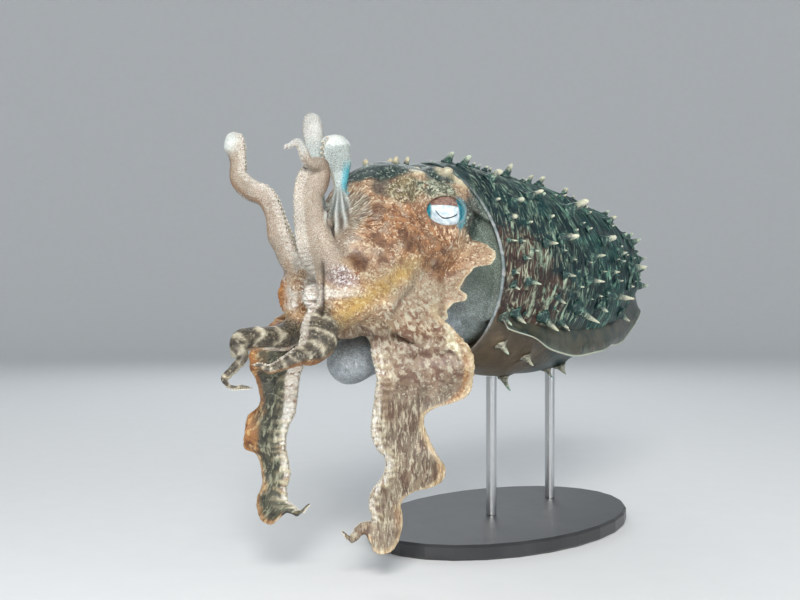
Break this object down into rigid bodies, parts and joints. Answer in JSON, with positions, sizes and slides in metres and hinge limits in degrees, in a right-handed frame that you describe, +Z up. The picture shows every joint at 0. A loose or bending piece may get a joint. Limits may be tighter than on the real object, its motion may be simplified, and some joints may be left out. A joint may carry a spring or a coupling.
{
  "type": "cuttlefish model",
  "caption": "Life-size museum model of a broad-armed cuttlefish swimming with raised and hanging arms, spiny mantle and rippled fins, held on a flat base by thin rods.",
  "frame": {"origin": "centre of the underside of the stand's base, on the floor", "axes": "+Z up, +X from the head towards the tail, -Y is the animal's left side"},
  "size_m": [0.5556, 0.1974, 0.3383],
  "materials": {
    "mantle": "wet satin skin, dark teal-green with pale ridges",
    "fin": "thin satin membrane, grey-brown",
    "head": "wet satin skin, mottled rust, brown and cream",
    "neck": "smooth satin skin, grey-green with pale specks",
    "arm": "wet satin skin, cream and brown",
    "eye": "gloss, silver with a dark slit",
    "funnel": "satin, grey with white specks",
    "mouth": "satin, pale",
    "beak": "gloss, near black",
    "stand": "matt black",
    "rod": "brushed"
  },
  "bodies": {
    "root": {"mantle": "mantle", "fin_left": "fin", "fin_right": "fin", "neck": "neck", "head": "head", "eye_left": "eye", "eye_right": "eye", "arm_crown": "head", "funnel": "funnel", "mouth_lips": "mouth", "beak": "beak", "stand_base": "stand", "stand_rod_1": "rod", "stand_rod_2": "rod", "arm_1_left_lower": "arm", "arm_1_left_tip": "arm", "arm_1_right_lower": "arm", "arm_1_right_tip": "arm", "arm_2_left_lower": "arm", "arm_2_left_tip": "arm", "arm_2_right_lower": "arm", "arm_2_right_tip": "arm", "arm_3_left_lower": "arm", "arm_3_left_tip": "arm", "arm_3_right_lower": "arm", "arm_3_right_tip": "arm", "arm_4_left_lower": "arm", "arm_4_left_upper": "arm", "arm_4_left_tip": "arm", "arm_4_right_lower": "arm", "arm_4_right_upper": "arm", "arm_4_right_tip": "arm"}
  },
  "joints": []
}
